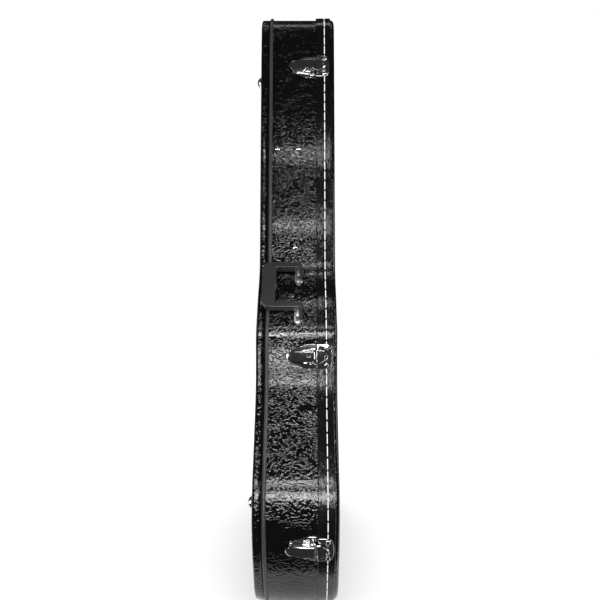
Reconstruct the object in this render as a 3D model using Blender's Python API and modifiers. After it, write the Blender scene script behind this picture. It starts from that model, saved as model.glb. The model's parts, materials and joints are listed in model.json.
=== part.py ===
"""Hardshell case for an acoustic guitar, standing on its wide end.

The frame is in metres: +Z runs from the wide end up to the head end, -Y is the
handle side, +Y the hinge side, -X the back with its feet and +X the lid. The
origin is on the floor under the middle of the shell. Sizes are written in
millimetres and become metres through MM. Fittings are drawn in a frame of their
own: x across the case's depth, a height off the wall, and a place along it.
"""
import math

import bmesh
import bpy
from mathutils import Matrix, Vector
from mathutils.geometry import interpolate_bezier

MM = 0.001
GAP = 0.3

# Depth of the shell from its back face to the lid's edge, and the seam in it
DEPTH = 140.0
SEAM_FROM_LID = 24.0
LID_CROWN = 7.0

# Half outline as (height, half width): the body's heights count from the wide
# end, and the neck's from the head end
SHELL_LENGTH = 1092.0
BODY_STATIONS = [
    (63, 197), (85, 203.5), (127, 215), (162, 220.5), (190, 221.5), (230, 218),
    (266, 209), (310, 196.5), (355, 184), (390, 178.5), (430, 177), (475, 174.5),
    (506, 164), (541, 150), (565, 138), (592, 129), (634, 125.5),
]
NECK_STATIONS = [(250, 115.5), (162, 110.5), (72, 104), (40, 101)]
WIDE_END_FLAT = 120.0
WIDE_END_REACHES = (45.0, 32.0)
HEAD_END_FLAT = 62.0
HEAD_END_REACHES = (23.0, 21.0)
CORNER_STEPS = 6
BULGE_STEPS = 12

# Walls and skins
VINYL = 1.0
BACK_PLY = 4.5
LID_PLY = 5.2
RIM_PLY = 4.0
BACK_CORNER = 3.5
LID_CORNER = 6.5
LID_OVERSIZE = 0.4
LINING = 6.0
PANEL_LINING = 8.0
LINING_EDGE = 2.0

# Trim: the piping bead near the back and the smooth valance over the seam
PIPING_FROM_BACK = 19.4
PIPING_WIDTH = 6.6
PIPING_PROUD = 2.8
VALANCE_WIDTH = 28.0
VALANCE_OVER_SEAM = 11.3
VALANCE_PROUD = 3.0
VALANCE_EDGE = 0.9
STITCH_FROM_EDGE = 12.0

# Feet on the back, as (half spread, height); the upper pair counts from the head end
FOOT_DIAMETER = 19.5
FOOT_HEIGHT = 10.0
LOWER_FEET = (193.0, 199.0)
UPPER_FEET = (79.0, 129.0)

# Draw latches on the handle side: heights of the lower two, the top one from the
# head end. Their own depths are counted from a line well behind the seam
LATCH_HEIGHTS = (437.1, 140.8)
LATCH_FROM_HEAD = 116.3
LATCH_FROM_SEAM = 46.0
SHEET = 1.2
PLATE_HALF = 20.5
PLATE_START = -10.5
PLATE_START_HALF = 10.0
PLATE_WAIST = (5.0, 16.0)
PLATE_SHOULDER = 13.0
PLATE_END = 33.2
LEVER_X = 28.0
LEVER_UP = 6.4
LEVER_HEAD = 3.9
LEVER_HALF = 9.5
LEVER_TIP = -17.2
LEVER_TIP_ROUND = 14.0
LEVER_TIP_TOP = 6.2
LEVER_CREASES = ((13.3, 10.3), (-1.0, 8.9))
LEVER_SKIRT = 2.4
LEVER_FACET = 1.5
HOOK_X = 13.0
HOOK_UP = 4.9
HOOK_EYE = 2.3
ARM_LOW = 8.2
ARM_HIGH = 9.8
ARM_RISE = 17.5
STUD_RADIUS = 1.1
LATCH_PIN = 1.2
HOOK_PLATE = [(33.0, 12.2), (38.5, 12.2), (46.0, 7.4), (50.8, 4.8), (52.4, 2.6)]
HOOK_PLATE_LOW = 7.6
HOOK_FACET = 1.2
SLOT_X = 47.2
SLOT_WIDE = 2.2
SLOT_HALF = 3.2
KEEPER_TOP = 9.0
EAR_X = (22.0, 32.6)
EAR_TOP = 9.6
EAR_CLEAR = 1.0
CATCH_END = 60.5
CATCH_ROUND = 8.0
CATCH_SPREAD = 14.35
LATCH_RIVET = 7.6
SMALL_RIVET = 5.0
LOCK_X = 21.0
LOCK_RADIUS = 3.4
KEYHOLE_HALF = 2.2
KEYHOLE_WIDE = 1.2

# Hinges on the far side, whose pins share one line; the third counts from the head end
HINGE_HEIGHTS = (226.0, 480.0)
HINGE_FROM_HEAD = 57.0
HINGE_LENGTH = 40.0
HINGE_BEFORE_SEAM = 15.0
HINGE_STANDOFF = 4.9
KNUCKLE_RADIUS = 3.2
HINGE_PIN = 1.4
LEAF_REACH = 28.0
LEAF_END_HALF = 14.0
LEAF_RIVETS = (19.0, 10.0)

# Handle folded towards the back on the sloping shoulder. Each leg turns down over
# its pin to a lip, and the pin's lower end is held by a bracket on the wall
HANDLE_LEGS = (517.5, 587.5)
HANDLE_FROM_BACK = 72.8
HANDLE_THICK = 17.0
HANDLE_CLEAR = 3.4
HANDLE_REACH = 63.8
GRIP_WIDTH = 25.0
LEG_WIDTH = 11.5
GRIP_ROUND = 3.2
GRIP_CORNER = 14.0
FINGER_SWELL = 2.2
DROP_LENGTH = 31.0
DROP_WIDTH = 4.4
LIP = 4.4
LIP_REACH = 3.6
HANDLE_PIN = 1.9
PIN_SEAT = 7.0
SLEEVE = 3.3
EYE_RADIUS = 3.8
EYE_LENGTH = 6.0
FOOT_PLATE = 1.6
FOOT_PLATE_HALF = 7.0
FOOT_PLATE_LENGTH = 25.0
FOOT_RIVET = 4.5

# Accessory compartment and neck rest under the neck, with depths from the back face
PARTITION_HEIGHTS = (629.8, 816.6)
PARTITION_PLY = 6.0
PARTITION_TOPS = (76.0, 92.0)
PARTITION_CLEAR = 0.6
DOME_RIVETS = [(66.0, 0), (32.3, 1), (71.8, 1)]
DOME_DIAMETER = 9.0
DOME_HEIGHT = 3.0
NECK_HALF = 32.0
NECK_DEPTH = 20.0
NECK_REST = 28.0
NECK_REST_TOP = 97.0
NECK_REST_SOFT = 3.0
FLAP = 4.0
FLAP_CLEAR = 4.0
TAB = (30.0, 18.0, 1.3)

# Places worked out from the sizes above
BACK_X = -DEPTH / 2
LID_X = DEPTH / 2
SEAM_X = LID_X - SEAM_FROM_LID
PIPING_X = BACK_X + PIPING_FROM_BACK
VALANCE_X0 = SEAM_X - VALANCE_OVER_SEAM
VALANCE_X1 = VALANCE_X0 + VALANCE_WIDTH
STITCH_X = VALANCE_X1 - STITCH_FROM_EDGE
HINGE_X = SEAM_X - HINGE_BEFORE_SEAM
LATCH_X = SEAM_X - LATCH_FROM_SEAM
HANDLE_X = BACK_X + HANDLE_FROM_BACK
LIFT = VALANCE_PROUD
WIDEST = max(width for _, width in BODY_STATIONS)
RIM_OUT = -(VINYL + GAP)
BASE_RIM_OUT = RIM_OUT - LID_OVERSIZE
BASE_RIM_IN = BASE_RIM_OUT - RIM_PLY
LINING_OUT = BASE_RIM_IN - GAP
LINING_IN = LINING_OUT - LINING
BACK_PANEL_X = BACK_X + VINYL + GAP
FLOOR_X = BACK_PANEL_X + BACK_PLY + GAP + PANEL_LINING
LID_PANEL_X = LID_X - VINYL - 2 * GAP
LID_INSIDE_X = LID_PANEL_X - LID_PLY - 3 * GAP
CATCH_LOW = LID_OVERSIZE + VALANCE_PROUD + GAP
PLATE_TOP = GAP + SHEET
ARM_IN = LEVER_HALF + GAP
EAR_IN = ARM_IN + SHEET + EAR_CLEAR
THROUGH = 4 * PLATE_HALF

FINISHES = {
    "vinyl": ((0.012, 0.012, 0.013), 0.35, 0.0),
    "trim": ((0.014, 0.014, 0.015), 0.3, 0.0),
    "wood": ((0.48, 0.33, 0.19), 0.6, 0.0),
    "chrome": ((0.75, 0.75, 0.77), 0.15, 1.0),
    "plastic": ((0.035, 0.037, 0.04), 0.45, 0.0),
    "plush": ((0.02, 0.02, 0.022), 0.95, 0.0),
}

for old in list(bpy.data.objects):
    bpy.data.objects.remove(old, do_unlink=True)
case = bpy.data.collections.new("guitar_case")
bpy.context.scene.collection.children.link(case)


# Objects and their finishes
def new_object(name, data):
    obj = bpy.data.objects.new(name, data)
    case.objects.link(obj)
    return obj


def mesh_object(name, bm):
    mesh = bpy.data.meshes.new(name)
    bm.to_mesh(mesh)
    bm.free()
    return new_object(name, mesh)


def keep(obj, name, finish):
    """Name a finished piece, give it a material of its own and smooth its round faces."""
    color, roughness, metallic = FINISHES[finish]
    mat = bpy.data.materials.new(name)
    mat.use_nodes = True
    shader = mat.node_tree.nodes["Principled BSDF"]
    shader.inputs["Base Color"].default_value = (*color, 1)
    shader.inputs["Roughness"].default_value = roughness
    shader.inputs["Metallic"].default_value = metallic
    obj.name = name
    obj.data.name = name
    obj.data.materials.clear()
    obj.data.materials.append(mat)
    obj.data.shade_smooth()
    obj.data.set_sharp_from_angle(angle=math.radians(28))
    return obj


def evaluated(obj):
    bpy.context.view_layer.update()
    depsgraph = bpy.context.evaluated_depsgraph_get()
    return bpy.data.meshes.new_from_object(obj.evaluated_get(depsgraph))


def settle(obj):
    """Apply an object's modifiers."""
    mesh = evaluated(obj)
    obj.modifiers.clear()
    obj.data = mesh
    return obj


def bake(obj):
    """Move an object's place into its mesh."""
    obj.data.transform(obj.matrix_world)
    if obj.matrix_world.determinant() < 0:
        obj.data.flip_normals()
    obj.matrix_world = Matrix.Identity(4)
    return obj


def as_mesh(obj):
    """Turn a curve object into a mesh object with welded caps and whole faces."""
    bm = bmesh.new()
    bm.from_mesh(evaluated(obj))
    bmesh.ops.remove_doubles(bm, verts=bm.verts, dist=0.00001)
    bmesh.ops.dissolve_limit(bm, angle_limit=math.radians(0.2), verts=bm.verts, edges=bm.edges)
    bmesh.ops.recalc_face_normals(bm, faces=bm.faces)
    made = mesh_object(obj.name, bm)
    made.matrix_world = obj.matrix_world.copy()
    bpy.data.objects.remove(obj, do_unlink=True)
    return made


def combine(obj, other, operation):
    """Boolean of one object with another, which is then removed."""
    mod = obj.modifiers.new(operation.lower(), "BOOLEAN")
    mod.operation = operation
    mod.solver = "EXACT"
    mod.object = other
    settle(obj)
    bpy.data.objects.remove(other, do_unlink=True)
    return obj


def round_edges(obj, width, segments=2):
    bevel = obj.modifiers.new("edge", "BEVEL")
    bevel.width = width * MM
    bevel.segments = segments
    bevel.limit_method = "ANGLE"
    bevel.angle_limit = math.radians(50)
    return obj


def round_rim(obj, width):
    """Round the outward edges that don't run straight off the wall."""
    bm = bmesh.new()
    bm.from_mesh(obj.data)
    bmesh.ops.dissolve_limit(bm, angle_limit=math.radians(0.2), verts=bm.verts, edges=bm.edges)
    weights = bm.edges.layers.float.new("bevel_weight_edge")
    for edge in bm.edges:
        run = (edge.verts[1].co - edge.verts[0].co).normalized()
        if edge.calc_face_angle_signed(0.0) > math.radians(50) and abs(run.y) < 0.9:
            edge[weights] = 1.0
    bm.to_mesh(obj.data)
    bm.free()
    bevel = obj.modifiers.new("rim", "BEVEL")
    bevel.width = width * MM
    bevel.segments = 2
    bevel.limit_method = "WEIGHT"
    return settle(obj)


def thicken(obj, thickness):
    wall = obj.modifiers.new("wall", "SOLIDIFY")
    wall.thickness = thickness * MM
    wall.offset = -1
    wall.use_even_offset = True
    return obj


# Outline of the shell
def half_outline():
    """Right half from the wide end's flat to the head end's flat, as (half width, height)."""
    sides = [Vector((width, z)) for z, width in BODY_STATIONS]
    sides += [Vector((width, SHELL_LENGTH - z)) for z, width in NECK_STATIONS]
    foot = Vector((WIDE_END_FLAT, 0.0))
    head = Vector((HEAD_END_FLAT, SHELL_LENGTH))
    rising = (sides[1] - sides[0]).normalized()
    leaning = (sides[-1] - sides[-2]).normalized()
    lower = interpolate_bezier(
        foot, foot + Vector((WIDE_END_REACHES[0], 0)),
        sides[0] - rising * WIDE_END_REACHES[1], sides[0], CORNER_STEPS)
    upper = interpolate_bezier(
        sides[-1], sides[-1] + leaning * HEAD_END_REACHES[0],
        head + Vector((HEAD_END_REACHES[1], 0)), head, CORNER_STEPS)
    return [p.xy for p in lower] + sides[1:-1] + [p.xy for p in upper]


def offset(points, distance):
    """A closed counter-clockwise outline moved outwards by a distance."""
    out = []
    for before, at, after in zip(points[-1:] + points[:-1], points, points[1:] + points[:1]):
        one = (at - before).normalized()
        two = (after - at).normalized()
        normal = Vector((one.y + two.y, -one.x - two.x)).normalized()
        out.append(at + normal * distance / max(normal.dot(Vector((one.y, -one.x))), 0.5))
    return out


HALF = [p + Vector((0, LIFT)) for p in half_outline()]
OUTLINE = HALF + [Vector((-p.x, p.y)) for p in reversed(HALF)]


def wall_at(height, side, distance=0.0):
    """Point on the wall at a height over the shell's end, and its outward normal, as (y, z)."""
    z = height + LIFT
    for low, high in zip(HALF, HALF[1:]):
        if low.y <= z < high.y:
            at = low.lerp(high, (z - low.y) / (high.y - low.y))
            run = (high - low).normalized()
            normal = Vector((run.y, -run.x))
            at = at + normal * distance
            return Vector((at.x * side, at.y)), Vector((normal.x * side, normal.y))
    raise ValueError(f"no wall at {height}")


def width_at(height, distance):
    return wall_at(height, 1, distance)[0].x


# Forms of the shell
def flat_curve(name, loops, thickness):
    """Flat outline with any holes, extruded about its own plane, as a mesh."""
    curve = bpy.data.curves.new(name, "CURVE")
    curve.dimensions = "2D"
    curve.fill_mode = "BOTH"
    curve.extrude = thickness / 2 * MM
    for loop in loops:
        spline = curve.splines.new("POLY")
        spline.points.add(len(loop) - 1)
        for point, (u, v) in zip(spline.points, loop):
            point.co = (u * MM, v * MM, 0, 1)
        spline.use_cyclic_u = True
    return new_object(name, curve)


def slab(name, loops, x0, x1, finish, edge=0.0, segments=2):
    """A plate or ring between two depths, cut to loops of (y, z)."""
    obj = flat_curve(name, loops, x1 - x0)
    obj.rotation_euler = (math.radians(90), 0, math.radians(90))
    obj.location.x = (x0 + x1) / 2 * MM
    obj = as_mesh(obj)
    if edge:
        round_edges(obj, edge, segments)
    return keep(obj, name, finish)


def sweep(name, section, finish):
    """A closed section of (depth, distance outwards), carried once round the outline."""
    bm = bmesh.new()
    rings = []
    for x, distance in section:
        rings.append([bm.verts.new((x * MM, p.x * MM, p.y * MM)) for p in offset(OUTLINE, distance)])
    count = len(OUTLINE)
    for ring, after in zip(rings, rings[1:] + rings[:1]):
        for k in range(count):
            n = (k + 1) % count
            bm.faces.new((ring[k], ring[n], after[n], after[k]))
    bmesh.ops.recalc_face_normals(bm, faces=bm.faces)
    return keep(mesh_object(name, bm), name, finish)


def face_outwards(bm, sign):
    """Turn every face so that the largest one looks towards +X or -X."""
    bmesh.ops.recalc_face_normals(bm, faces=bm.faces)
    if max(bm.faces, key=lambda f: f.calc_area()).normal.x * sign < 0:
        bmesh.ops.reverse_faces(bm, faces=bm.faces)


def skirt_down(bm, depth):
    """Carry the open rim of a surface straight on to a depth."""
    made = bmesh.ops.extrude_edge_only(bm, edges=[e for e in bm.edges if e.is_boundary])
    for v in made["geom"]:
        if isinstance(v, bmesh.types.BMVert):
            v.co.x = depth * MM


def crown_at(y, half_width):
    """How far the lid arches over its edge, which is most over its widest part."""
    share = half_width / WIDEST
    return LID_CROWN * share * share * (1 - (y / half_width) ** 2)


def arched_surface(name, distance, x_edge, skirt=None):
    """Open arched surface over the outline, with a skirt down to a depth where one is wanted."""
    bm = bmesh.new()
    columns = (-1.0, -0.55, 0.0, 0.55, 1.0)
    grid = []
    for p in offset(OUTLINE, distance)[:len(HALF)]:
        row = []
        for share in columns:
            y = p.x * share
            row.append(bm.verts.new(((x_edge + crown_at(y, p.x)) * MM, y * MM, p.y * MM)))
        grid.append(row)
    for low, high in zip(grid, grid[1:]):
        for k in range(len(columns) - 1):
            bm.faces.new((low[k], low[k + 1], high[k + 1], high[k]))
    if skirt is not None:
        skirt_down(bm, skirt)
    face_outwards(bm, 1)
    return mesh_object(name, bm)


def flat_surface(name, distance, x_face, skirt):
    """Open flat face over the outline with a skirt round it, facing the back."""
    bm = bmesh.new()
    bm.faces.new([bm.verts.new((x_face * MM, p.x * MM, p.y * MM)) for p in offset(OUTLINE, distance)])
    skirt_down(bm, skirt)
    face_outwards(bm, -1)
    return mesh_object(name, bm)


# Forms of the fittings, in their own frame
def frame_at(origin, out):
    """Frame with local X along +X, local -Y outwards and local Z along the wall."""
    along = Vector((1, 0, 0)).cross(-out)
    turn = Matrix(((1, 0, 0), -out, along)).transposed()
    return Matrix.Translation(origin * MM) @ turn.to_4x4()


def bulge(z0, z1, side, start, normal):
    """How far the wall rises over a line between two heights, at its highest."""
    levels = [z0 + (z1 - z0) * k / BULGE_STEPS for k in range(BULGE_STEPS + 1)]
    return max((wall_at(z, side, -LID_OVERSIZE)[0] - start).dot(normal) for z in levels)


def seat_frame(height, half, side, x=0.0):
    """Frame on the wall for a fitting of some length, which just clears the wall's curve."""
    z0, z1 = height - half, height + half
    low, high = (wall_at(z, side, -LID_OVERSIZE)[0] for z in (z0, z1))
    along = (high - low).normalized()
    normal = Vector((along.y, -along.x)) * side
    at = (low + high) / 2 + normal * bulge(z0, z1, side, low, normal)
    return frame_at(Vector((x, at.x, at.y)), Vector((0, normal.x, normal.y)))


def loft(name, rings):
    """Solid through rings of as many points each, given as (x, height off the wall, along)."""
    bm = bmesh.new()
    rows = [[bm.verts.new((x * MM, -height * MM, along * MM)) for x, height, along in ring] for ring in rings]
    count = len(rows[0])
    for low, high in zip(rows, rows[1:]):
        for k in range(count):
            n = (k + 1) % count
            bm.faces.new((low[k], low[n], high[n], high[k]))
    bm.faces.new(rows[0])
    bm.faces.new(rows[-1])
    bmesh.ops.recalc_face_normals(bm, faces=bm.faces)
    return mesh_object(name, bm)


def inset(outline, distance):
    """An outline moved inwards, whichever way round it runs."""
    points = [Vector(p) for p in outline]
    area = sum(a.cross(b) for a, b in zip(points, points[1:] + points[:1]))
    return offset(points, math.copysign(distance, -area))


def side_prism(name, profile, width, centre=0.0):
    """Profile of (x, height off the wall), extruded along the wall about a centre."""
    ends = (centre - width / 2, centre + width / 2)
    return loft(name, [[(x, height, along) for x, height in profile] for along in ends])


def plate(name, outline, low, high, facet=0.0):
    """Outline of (x, along) between two heights off the wall, its upper edge cut back."""
    rings = [[(x, low, along) for x, along in outline], [(x, high - facet, along) for x, along in outline]]
    if facet:
        rings.append([(x, high, along) for x, along in inset(outline, facet)])
    return loft(name, rings)


def arc(centre, radius, first, last, steps):
    turns = [math.radians(first + (last - first) * k / steps) for k in range(steps + 1)]
    return [(centre[0] + radius * math.cos(a), centre[1] + radius * math.sin(a)) for a in turns]


def mirrored(half):
    """Close half an outline of (x, half width) with its mirror image."""
    return [(x, -w) for x, w in half] + [(x, w) for x, w in reversed(half)]


def rod(name, x, height, radius, length, centre=0.0, sides=12):
    """Cylinder along the wall at (x, height off the wall)."""
    bm = bmesh.new()
    place = Matrix.Translation((x * MM, -height * MM, centre * MM))
    bmesh.ops.create_cone(bm, cap_ends=True, segments=sides, radius1=radius * MM,
                          radius2=radius * MM, depth=length * MM, matrix=place)
    return mesh_object(name, bm)


def turned(name, profile, x=0.0, along=0.0, sides=12):
    """Solid turned about a line off the wall, from a profile of (radius, height) read downwards."""
    mesh = bpy.data.meshes.new(name)
    points = [(radius * MM, 0, height * MM) for radius, height in profile]
    mesh.from_pydata(points, [(k, k + 1) for k in range(len(points) - 1)], [])
    obj = new_object(name, mesh)
    screw = obj.modifiers.new("turn", "SCREW")
    screw.steps = sides
    screw.render_steps = sides
    screw.use_merge_vertices = True
    screw.merge_threshold = 0.00001
    settle(obj)
    obj.matrix_world = Matrix.Translation((x * MM, 0, along * MM)) @ Matrix.Rotation(math.pi / 2, 4, "X")
    return bake(obj)


def rivet_head(x, along, low, diameter, sides=10):
    """Low domed head with its foot sunk a little into the plate that it holds."""
    r = diameter / 2
    profile = [(0, low + 0.56 * r), (0.6 * r, low + 0.46 * r), (r, low + 0.12 * r), (r, low - 0.2), (0, low - 0.2)]
    return turned("head", profile, x, along, sides)


def add_rivets(obj, places, low, diameter, sides=10):
    for x, along in places:
        combine(obj, rivet_head(x, along, low, diameter, sides), "UNION")
    return obj


def finish_at(obj, frame, name, finish):
    obj.matrix_world = frame
    return keep(obj, name, finish)


# The base: panel, bent rim, vinyl, piping and lining
def make_base():
    top = BACK_PANEL_X + BACK_PLY
    slab("back_panel", [offset(OUTLINE, BASE_RIM_OUT)], BACK_PANEL_X, top, "wood",
         BACK_CORNER - VINYL - GAP, 1)
    slab("base_rim", [offset(OUTLINE, BASE_RIM_OUT), offset(OUTLINE, BASE_RIM_IN)],
         top + GAP, SEAM_X - GAP / 2, "wood")
    cover = flat_surface("back_cover", -LID_OVERSIZE, BACK_X, PIPING_X - PIPING_WIDTH / 2 - GAP)
    keep(thicken(round_edges(cover, BACK_CORNER), VINYL), "back_cover", "vinyl")
    low = -LID_OVERSIZE - VINYL
    slab("side_cover", [offset(OUTLINE, -LID_OVERSIZE), offset(OUTLINE, low)],
         PIPING_X + PIPING_WIDTH / 2 + GAP, SEAM_X - GAP / 2, "vinyl")
    angles = [math.pi * k / 6 for k in range(7)]
    bead = [(PIPING_X + PIPING_WIDTH / 2 * math.cos(a), low + (PIPING_PROUD - low) * math.sin(a))
            for a in angles]
    sweep("piping", bead, "trim")
    slab("back_lining", [offset(OUTLINE, LINING_OUT)], top + GAP, FLOOR_X, "plush", LINING_EDGE, 1)
    x0, x1 = FLOOR_X + GAP, SEAM_X - LINING / 2
    soft = LINING_EDGE
    sweep("side_lining", [(x0, LINING_OUT), (x1 - soft, LINING_OUT), (x1, LINING_OUT - soft),
                          (x1, LINING_IN + soft), (x1 - soft, LINING_IN), (x0, LINING_IN)], "plush")


# The lid: arched panel, rim, vinyl, valance and lining
def make_lid():
    cover = arched_surface("lid_cover", 0.0, LID_X, SEAM_X + GAP / 2)
    keep(thicken(round_edges(cover, LID_CORNER), VINYL), "lid_cover", "vinyl")
    panel = arched_surface("lid_panel", RIM_OUT - GAP - LID_CORNER / 2, LID_PANEL_X)
    keep(thicken(panel, LID_PLY), "lid_panel", "wood")
    slab("lid_rim", [offset(OUTLINE, RIM_OUT), offset(OUTLINE, RIM_OUT - RIM_PLY)],
         SEAM_X + GAP / 2, LID_INSIDE_X, "wood")
    edge = VALANCE_EDGE
    sweep("valance", [(VALANCE_X0, GAP), (VALANCE_X0, VALANCE_PROUD - edge),
                      (VALANCE_X0 + edge, VALANCE_PROUD), (VALANCE_X1 - edge, VALANCE_PROUD),
                      (VALANCE_X1, VALANCE_PROUD - edge), (VALANCE_X1, GAP)], "trim")
    pad = arched_surface("lid_lining", RIM_OUT - RIM_PLY - GAP, LID_INSIDE_X)
    keep(thicken(pad, PANEL_LINING), "lid_lining", "plush")


def make_feet():
    r = FOOT_DIAMETER / 2
    h = FOOT_HEIGHT
    profile = [(0, h), (0.5 * r, 0.94 * h), (0.84 * r, 0.68 * h), (r, 0.2 * h), (r, 0), (0, 0)]
    lower = (LOWER_FEET[0], LOWER_FEET[1])
    upper = (UPPER_FEET[0], SHELL_LENGTH - UPPER_FEET[1])
    places = [(side * spread, height) for spread, height in (upper, lower) for side in (-1, 1)]
    for number, (y, height) in enumerate(places, 1):
        turn = Matrix(((0, 1, 0), (1, 0, 0), (0, 0, 1))).to_4x4()
        origin = Vector((BACK_X - GAP, y, height + LIFT))
        finish_at(turned("foot", profile, sides=16), Matrix.Translation(origin * MM) @ turn,
                  f"foot_{number}", "chrome")


# Draw latches: stamped base with ears, folded lever, slotted hook, and catch with its keeper
def latch_base():
    half = [(PLATE_START, PLATE_START_HALF), (PLATE_WAIST[0], PLATE_WAIST[1]),
            (PLATE_SHOULDER, PLATE_HALF), (PLATE_END, PLATE_HALF)]
    base = plate("base", mirrored(half), GAP, PLATE_TOP, SHEET / 2)
    x0, x1 = EAR_X
    third = (x1 - x0) / 3
    ear = [(x0, PLATE_TOP - GAP), (x1, PLATE_TOP - GAP), (x1, LEVER_UP), (x1 - third / 2, EAR_TOP - 1),
           (x1 - third, EAR_TOP), (x0 + third, EAR_TOP), (x0 + third / 2, EAR_TOP - 1), (x0, LEVER_UP)]
    for side in (-1, 1):
        combine(base, side_prism("ear", ear, SHEET, side * (EAR_IN + SHEET / 2)), "UNION")
    combine(base, rod("hole", LEVER_X, LEVER_UP, LATCH_PIN + GAP, THROUGH), "DIFFERENCE")
    inner = LEVER_HALF / 2
    return add_rivets(base, [(PLATE_START + SMALL_RIVET, 0), (EAR_X[0], inner), (EAR_X[0], -inner)],
                      PLATE_TOP, SMALL_RIVET, 8)


def lever_profile():
    """Side view of the lever as (x, height): skirt, round head about its pivot, creases and tip."""
    turns = [math.radians(a) for a in (-60, -30, 0, 30, 60, 90)]
    head = [(LEVER_X + LEVER_HEAD * math.cos(a), LEVER_UP + LEVER_HEAD * math.sin(a)) for a in turns]
    skirt = [(LEVER_TIP, LEVER_SKIRT), (LEVER_X - LEVER_HEAD, LEVER_SKIRT)]
    tip = [(LEVER_TIP + 2 * SHEET, LEVER_TIP_TOP), (LEVER_TIP, LEVER_TIP_TOP - SHEET)]
    return [Vector(p) for p in skirt + head + list(LEVER_CREASES) + tip]


def latch_lever(locked):
    outer = lever_profile()
    drawn = [p - Vector((0, LEVER_FACET)) if p.y > LEVER_TIP_TOP - 1 else p for p in outer]
    full, flat = LEVER_HALF, LEVER_HALF - LEVER_FACET
    lever = loft("lever", [[(p.x, p.y, along) for p in ring] for ring, along in
                           ((drawn, -full), (outer, -flat), (outer, flat), (drawn, full))])
    turns = [math.radians(a) for a in range(-75, 76, 30)]
    nose = [(LEVER_TIP + LEVER_TIP_ROUND * (1 - math.cos(a)), LEVER_HALF * math.sin(a)) for a in turns]
    far = LEVER_X + 2 * LEVER_HEAD
    wide = LEVER_HALF + SHEET
    ends = [(LEVER_TIP + LEVER_TIP_ROUND, wide), (far, wide), (far, -wide), (LEVER_TIP + LEVER_TIP_ROUND, -wide)]
    combine(lever, plate("tip", nose + ends, -SHEET, 2 * EAR_TOP), "INTERSECT")
    under = [p for p in offset(outer, -SHEET) if p.y > LEVER_SKIRT + 1.5 * SHEET]
    inside = [(under[-1].x, -SHEET), (under[0].x, -SHEET)] + under
    combine(lever, side_prism("hollow", inside, 2 * (LEVER_HALF - SHEET)), "DIFFERENCE")
    combine(lever, rod("hole", LEVER_X, LEVER_UP, LATCH_PIN + GAP, THROUGH), "DIFFERENCE")
    combine(lever, rod("stud", HOOK_X, HOOK_UP, STUD_RADIUS, 2 * (ARM_IN + SHEET)), "UNION")
    if locked:
        top = LEVER_UP + LEVER_HEAD
        ring = [(0, top + 0.5), (LOCK_RADIUS - 0.5, top + 0.5), (LOCK_RADIUS, top), (LOCK_RADIUS, top - SHEET / 2),
                (0, top - SHEET / 2)]
        combine(lever, turned("lock", ring, LOCK_X), "UNION")
        a, b = KEYHOLE_HALF, KEYHOLE_WIDE / 2
        slot = [(LOCK_X - a, -b), (LOCK_X + a, -b), (LOCK_X + a, b), (LOCK_X - a, b)]
        combine(lever, plate("keyhole", slot, top - 2 * SHEET, top + SHEET), "DIFFERENCE")
    return lever


def latch_hook():
    turns = [math.radians(a) for a in (135, 180, 225, 270, 315)]
    eye = [(HOOK_X + HOOK_EYE * math.cos(a), HOOK_UP + HOOK_EYE * math.sin(a)) for a in turns]
    front = HOOK_PLATE[0][0] + SHEET
    arm = eye + [(ARM_RISE, ARM_LOW), (front, ARM_LOW), (front, ARM_HIGH), (ARM_RISE - SHEET, ARM_HIGH)]
    hook = plate("hook", mirrored(HOOK_PLATE), HOOK_PLATE_LOW, ARM_HIGH + 0.2, HOOK_FACET)
    for side in (-1, 1):
        combine(hook, side_prism("arm", arm, SHEET, side * (ARM_IN + SHEET / 2)), "UNION")
    x0, x1 = SLOT_X, SLOT_X + SLOT_WIDE
    slot = [(x0, -SLOT_HALF), (x1, -SLOT_HALF), (x1, SLOT_HALF), (x0, SLOT_HALF)]
    combine(hook, plate("slot", slot, 0, 2 * EAR_TOP), "DIFFERENCE")
    return combine(hook, rod("hole", HOOK_X, HOOK_UP, STUD_RADIUS + GAP, THROUGH), "DIFFERENCE")


def latch_catch():
    turns = [math.radians(a) for a in range(-90, 91, 20)]
    middle = CATCH_END - CATCH_ROUND
    bow = [(middle + CATCH_ROUND * math.cos(a), PLATE_HALF * math.sin(a)) for a in turns]
    near = VALANCE_X0 - LATCH_X
    outline = [(near, -PLATE_HALF)] + bow + [(near, PLATE_HALF)]
    top = CATCH_LOW + SHEET
    catch = plate("catch", outline, CATCH_LOW, top, SHEET / 2)
    x0 = SLOT_X + GAP
    x1 = SLOT_X + SLOT_WIDE - 2 * GAP
    keeper = [(x0, top - GAP), (x1, top - GAP), (x1, KEEPER_TOP), (x0, KEEPER_TOP)]
    combine(catch, side_prism("keeper", keeper, 2 * (SLOT_HALF - 2 * GAP)), "UNION")
    held = STITCH_X - LATCH_X
    return add_rivets(catch, [(held, CATCH_SPREAD), (held, -CATCH_SPREAD)], top, LATCH_RIVET)


def make_latch(number, height, locked):
    frame = seat_frame(height, PLATE_HALF, -1, LATCH_X)
    name = f"latch_{number}"
    finish_at(latch_base(), frame, f"{name}_base", "chrome")
    length = 2 * (EAR_IN + 2 * SHEET)
    finish_at(rod("pin", LEVER_X, LEVER_UP, LATCH_PIN, length), frame, f"{name}_pin", "chrome")
    finish_at(latch_lever(locked), frame, f"{name}_lever", "chrome")
    finish_at(latch_hook(), frame, f"{name}_hook", "chrome")
    finish_at(latch_catch(), frame, f"{name}_catch", "chrome")


def latch_heights():
    return [SHELL_LENGTH - LATCH_FROM_HEAD, *LATCH_HEIGHTS]


# Hinges: two leaves with interleaved knuckles on a pin, all three pins on one line
def hinge_heights():
    return [*HINGE_HEIGHTS, SHELL_LENGTH - HINGE_FROM_HEAD]


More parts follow.
